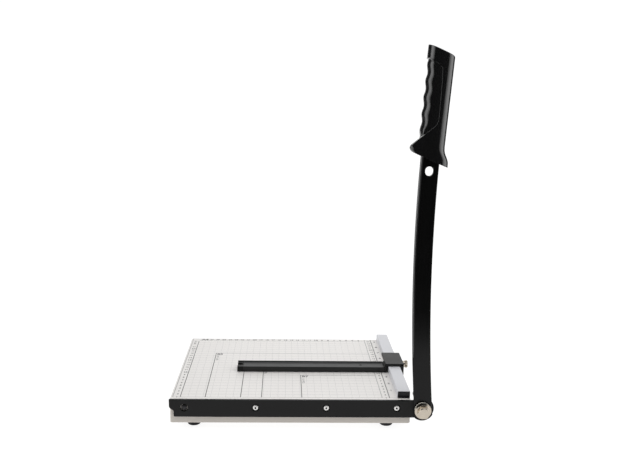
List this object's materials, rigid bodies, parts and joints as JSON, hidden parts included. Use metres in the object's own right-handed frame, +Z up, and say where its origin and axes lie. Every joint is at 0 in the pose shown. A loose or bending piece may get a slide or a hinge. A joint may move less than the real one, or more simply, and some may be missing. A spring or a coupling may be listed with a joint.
{
  "type": "guillotine paper cutter",
  "caption": "Paper cutter with a sheet-steel table, front shear bar, pivoted knife arm with a moulded handle, side fence and clamping back guide.",
  "frame": {"origin": "centre of the bounding box at the bottom of the rubber feet", "axes": "+X to the right along the cutting edge, towards the pivot; +Y from the cutting edge to the back; +Z up"},
  "size_m": [0.355, 0.2692, 0.5046],
  "materials": {
    "table_enamel": "satin enamel with a printed ruling",
    "bar_black": "satin black coating",
    "fence_enamel": "satin light grey enamel",
    "black_plastic": "fine moulded",
    "zinc": "zinc plated",
    "guide_grey": "satin dark grey",
    "guide_black": "satin moulded",
    "guide_head_grey": "satin moulded",
    "black_screw": "blackened steel",
    "nylon": "natural nylon",
    "nickel": "nickel plated, warm tint",
    "blade_black": "satin black with a ground edge",
    "handle_gloss": "high gloss",
    "grip_gloss": "gloss, slightly softer than the handle",
    "bronze": "sintered bronze",
    "spring_steel": "oiled spring steel",
    "bright_screw": "bright plated",
    "foot_rubber": "matt"
  },
  "bodies": {
    "table": {"base_table": "table_enamel", "shear_bar": "bar_black", "bar_screw_left": "bright_screw", "bar_screw_middle": "bright_screw", "bar_screw_right": "bright_screw", "bar_nut_left": "zinc", "bar_nut_middle": "zinc", "bar_nut_right": "zinc", "fence_rail": "fence_enamel", "fence_front_cap": "black_plastic", "fence_rear_cap": "black_plastic", "fence_screw_front": "zinc", "fence_screw_rear": "zinc", "pivot_bolt": "nickel", "pivot_bush": "bronze", "friction_washer": "nylon", "spring_washer": "spring_steel", "rear_washer": "zinc", "pivot_nut": "zinc", "lock_bracket": "zinc", "foot_front_left": "foot_rubber", "foot_front_right": "foot_rubber", "foot_rear_left": "foot_rubber", "foot_rear_right": "foot_rubber", "foot_screw_front_left": "zinc", "foot_screw_front_right": "zinc", "foot_screw_rear_left": "zinc", "foot_screw_rear_right": "zinc"},
    "arm": {"blade_arm": "blade_black", "handle_front_shell": "handle_gloss", "handle_rear_shell": "handle_gloss", "grip_insert": "grip_gloss", "handle_screw_low": "zinc", "handle_screw_middle": "zinc", "handle_screw_high": "zinc"},
    "guide": {"guide_bar": "guide_grey", "guide_end_piece": "guide_black", "guide_head": "guide_head_grey", "guide_screw": "black_screw"},
    "shoe": {"clamp_shoe": "nylon"},
    "thumb": {"thumb_screw": "nickel"},
    "lock": {"lock_pin": "black_screw", "lock_knob": "black_plastic"}
  },
  "joints": [
    {"name": "arm_swing", "type": "hinge", "parent": "table", "child": "arm", "pos_m": [0.1589, -0.11928, 0.0315], "axis": [0, -1, 0], "range_deg": [-8, 88.85]},
    {"name": "guide_slide", "type": "slide", "parent": "table", "child": "guide", "axis": [0, 1, 0], "range_m": [-0.082, 0.098]},
    {"name": "clamp_advance", "type": "slide", "parent": "guide", "child": "shoe", "axis": [1, 0, 0], "range_m": [0, 0.00125]},
    {"name": "clamp_turn", "type": "hinge", "parent": "shoe", "child": "thumb", "pos_m": [0.1538, 0.00937, 0.0472], "axis": [1, 0, 0], "range_deg": [0, 540]},
    {"name": "lock_slide", "type": "slide", "parent": "table", "child": "lock", "axis": [0, -1, 0], "range_m": [0, 0.006]}
  ],
  "couplings": [
    {"joint": "clamp_advance", "follows": "clamp_turn", "m_per_rad": 0.00012732}
  ]
}
